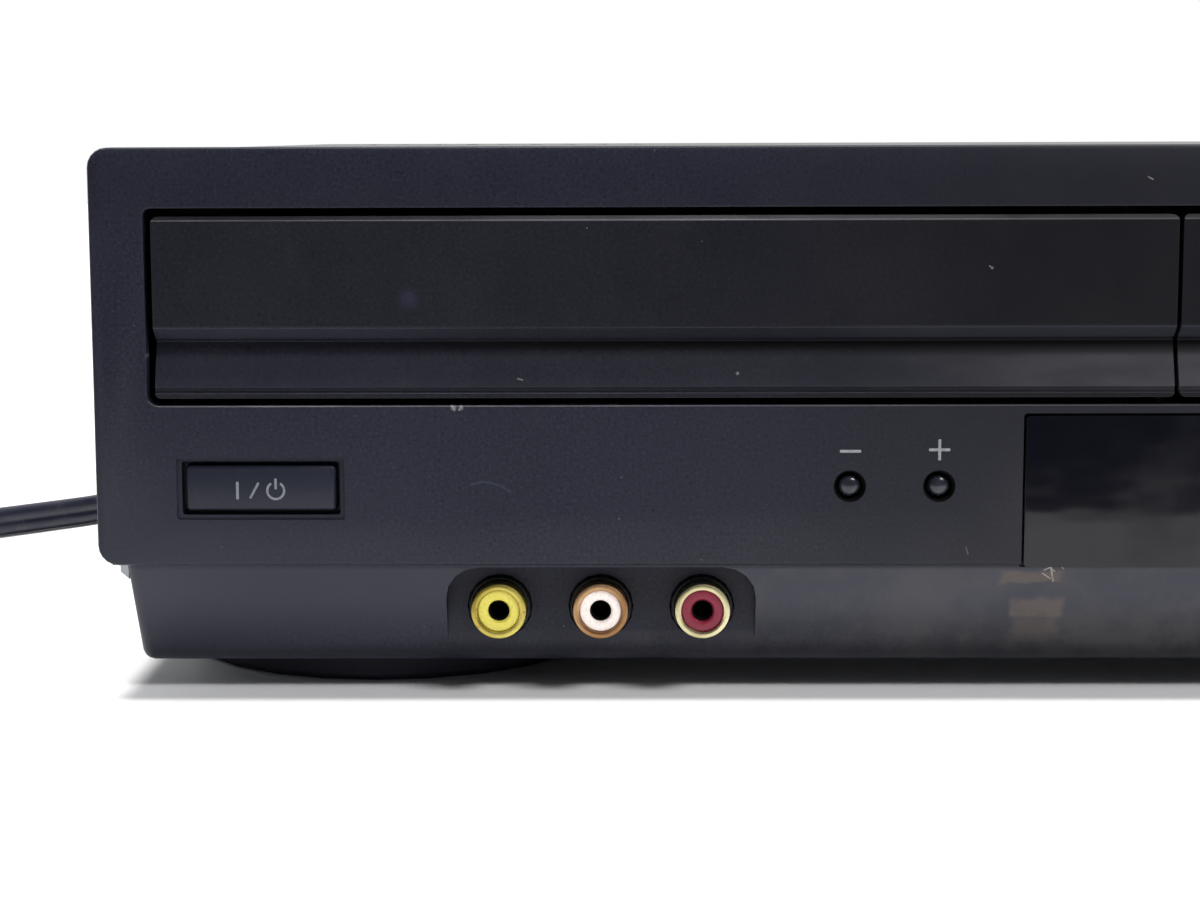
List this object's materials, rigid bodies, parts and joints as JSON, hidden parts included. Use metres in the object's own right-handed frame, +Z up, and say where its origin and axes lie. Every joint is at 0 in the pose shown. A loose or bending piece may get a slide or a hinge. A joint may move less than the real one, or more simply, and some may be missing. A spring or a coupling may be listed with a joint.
{
  "type": "dvd vcr combo player",
  "caption": "Flat home player with a sliding disc tray, a swinging cassette door over a tape lift and head drum, press buttons, audio and video sockets and a wound mains cord.",
  "frame": {"origin": "on the surface the player stands on, under the middle of the case (without the cord)", "axes": "+X to the right seen from the front, +Y to the back, +Z up; the front faces -Y"},
  "size_m": [0.5837, 0.3369, 0.082],
  "materials": {
    "charcoal_plastic": "fine texture",
    "black_plastic": "satin",
    "gloss_black": "glossy",
    "smoked_acrylic": "glossy, nearly opaque",
    "display_glass": "glossy",
    "grey_plastic": "satin",
    "white_plastic": "satin",
    "painted_steel": "fine textured black paint",
    "galvanised_steel": "dull zinc",
    "bright_steel": "bright",
    "circuit_board": "tan laminate",
    "socket_yellow": "satin",
    "socket_white": "satin",
    "socket_red": "satin",
    "socket_plating": "worn plating",
    "socket_plating_worn": "tarnished",
    "rubber": "matte",
    "cord_jacket": "satin",
    "plug_brass": "bright"
  },
  "bodies": {
    "case": {"audio_head": "bright_steel", "bottom_chassis": "galvanised_steel", "cassette_frame": "galvanised_steel", "clamp_bridge": "galvanised_steel", "cord_strain_relief": "black_plastic", "deck_plate": "galvanised_steel", "display_module": "display_glass", "display_window": "smoked_acrylic", "drum_base": "bright_steel", "foot_front_left": "black_plastic", "foot_front_right": "black_plastic", "foot_rear_left": "black_plastic", "foot_rear_right": "black_plastic", "front_bezel": "charcoal_plastic", "front_board": "circuit_board", "front_jack_block": "black_plastic", "jack_insulator_red": "socket_red", "jack_insulator_white": "socket_white", "jack_insulator_yellow": "socket_yellow", "jack_shell_red": "socket_plating", "jack_shell_white": "socket_plating_worn", "jack_shell_yellow": "socket_plating", "loader_frame": "black_plastic", "main_board": "circuit_board", "mains_cord": "cord_jacket", "mains_cord_coil": "cord_jacket", "mains_plug": "cord_jacket", "pickup_chassis": "galvanised_steel", "plug_blade_left": "plug_brass", "plug_blade_right": "plug_brass", "power_board": "circuit_board", "rear_jack_block": "black_plastic", "rear_panel": "painted_steel", "top_cover": "painted_steel", "tuner_can": "bright_steel"},
    "disc_drawer": {"disc_tray": "black_plastic", "tray_front": "charcoal_plastic"},
    "tray_gear": {"tray_gear": "white_plastic"},
    "pickup": {"optical_pickup": "grey_plastic"},
    "turntable": {"turntable": "black_plastic"},
    "clamper": {"disc_clamper": "white_plastic"},
    "cassette_door": {"cassette_door": "charcoal_plastic"},
    "tape_carriage": {"basket_yoke": "bright_steel"},
    "tape_basket": {"cassette_basket": "galvanised_steel"},
    "supply_reel": {"supply_reel": "white_plastic"},
    "takeup_reel": {"takeup_reel": "white_plastic"},
    "head_drum": {"head_drum": "bright_steel"},
    "capstan": {"capstan_flywheel": "bright_steel"},
    "pinch_arm": {"pinch_arm": "galvanised_steel"},
    "pinch_roller": {"pinch_roller": "rubber"},
    "power_button": {"power_button": "charcoal_plastic"},
    "open_close_button": {"open_close_button": "charcoal_plastic"},
    "stop_button": {"stop_button": "charcoal_plastic"},
    "tape_eject_button": {"tape_eject_button": "charcoal_plastic"},
    "rewind_button": {"rewind_button": "charcoal_plastic"},
    "play_button": {"play_button": "charcoal_plastic"},
    "forward_button": {"forward_button": "charcoal_plastic"},
    "tracking_down_button": {"tracking_down_button": "gloss_black"},
    "tracking_up_button": {"tracking_up_button": "gloss_black"}
  },
  "joints": [
    {"name": "disc_tray_slide", "type": "slide", "parent": "case", "child": "disc_drawer", "axis": [0, -1, 0], "range_m": [0, 0.135]},
    {"name": "tray_gear_spin", "type": "hinge", "parent": "case", "child": "tray_gear", "pos_m": [-0.18275, -0.108, 0.05], "axis": [0, 0, 1], "range_deg": [0, 1822]},
    {"name": "pickup_slide", "type": "slide", "parent": "case", "child": "pickup", "axis": [0, 1, 0], "range_m": [0, 0.028]},
    {"name": "turntable_spin", "type": "hinge", "parent": "case", "child": "turntable", "pos_m": [-0.13125, -0.0585, 0.053], "axis": [0, 0, 1], "continuous": true},
    {"name": "clamper_spin", "type": "hinge", "parent": "case", "child": "clamper", "pos_m": [-0.13125, -0.0585, 0.068], "axis": [0, 0, 1], "continuous": true},
    {"name": "cassette_door_swing", "type": "hinge", "parent": "case", "child": "cassette_door", "pos_m": [0.0475, -0.1276, 0.0753], "axis": [1, 0, 0], "range_deg": [0, 88], "stiffness_Nm_per_rad": 0.002, "springref_deg": -34.38},
    {"name": "tape_carriage_slide", "type": "slide", "parent": "case", "child": "tape_carriage", "axis": [0, 1, 0], "range_m": [0, 0.054]},
    {"name": "tape_basket_drop", "type": "slide", "parent": "tape_carriage", "child": "tape_basket", "axis": [0, 0, -1], "range_m": [0, 0.014]},
    {"name": "supply_reel_spin", "type": "hinge", "parent": "case", "child": "supply_reel", "pos_m": [0.0015, -0.0465, 0.035], "axis": [0, 0, 1], "continuous": true},
    {"name": "takeup_reel_spin", "type": "hinge", "parent": "case", "child": "takeup_reel", "pos_m": [0.0935, -0.0465, 0.035], "axis": [0, 0, 1], "continuous": true},
    {"name": "head_drum_spin", "type": "hinge", "parent": "case", "child": "head_drum", "pos_m": [0.0395, 0.0505, 0.03424], "axis": [0.1045, 0, 0.9945], "continuous": true},
    {"name": "capstan_spin", "type": "hinge", "parent": "case", "child": "capstan", "pos_m": [0.0955, 0.0255, 0.035], "axis": [0, 0, 1], "continuous": true},
    {"name": "pinch_arm_swing", "type": "hinge", "parent": "case", "child": "pinch_arm", "pos_m": [0.1195, 0.0375, 0.036], "axis": [0, 0, 1], "range_deg": [0, 33], "stiffness_Nm_per_rad": 0.01, "springref_deg": -11.46},
    {"name": "pinch_roller_spin", "type": "hinge", "parent": "pinch_arm", "child": "pinch_roller", "pos_m": [0.09977, 0.04468, 0.044], "axis": [0, 0, 1], "continuous": true},
    {"name": "power_button_press", "type": "slide", "parent": "case", "child": "power_button", "axis": [0, 1, 0], "range_m": [0, 0.001], "stiffness_N_per_m": 250},
    {"name": "open_close_button_press", "type": "slide", "parent": "case", "child": "open_close_button", "axis": [0, 1, 0], "range_m": [0, 0.001], "stiffness_N_per_m": 250},
    {"name": "stop_button_press", "type": "slide", "parent": "case", "child": "stop_button", "axis": [0, 1, 0], "range_m": [0, 0.001], "stiffness_N_per_m": 250},
    {"name": "tape_eject_button_press", "type": "slide", "parent": "case", "child": "tape_eject_button", "axis": [0, 1, 0], "range_m": [0, 0.001], "stiffness_N_per_m": 250},
    {"name": "rewind_button_press", "type": "slide", "parent": "case", "child": "rewind_button", "axis": [0, 1, 0], "range_m": [0, 0.001], "stiffness_N_per_m": 250},
    {"name": "play_button_press", "type": "slide", "parent": "case", "child": "play_button", "axis": [0, 1, 0], "range_m": [0, 0.001], "stiffness_N_per_m": 250},
    {"name": "forward_button_press", "type": "slide", "parent": "case", "child": "forward_button", "axis": [0, 1, 0], "range_m": [0, 0.001], "stiffness_N_per_m": 250},
    {"name": "tracking_down_button_press", "type": "slide", "parent": "case", "child": "tracking_down_button", "axis": [0, 1, 0], "range_m": [0, 0.001], "stiffness_N_per_m": 250},
    {"name": "tracking_up_button_press", "type": "slide", "parent": "case", "child": "tracking_up_button", "axis": [0, 1, 0], "range_m": [0, 0.001], "stiffness_N_per_m": 250}
  ],
  "couplings": [
    {"joint": "tray_gear_spin", "follows": "disc_tray_slide", "rad_per_m": 235.29}
  ]
}
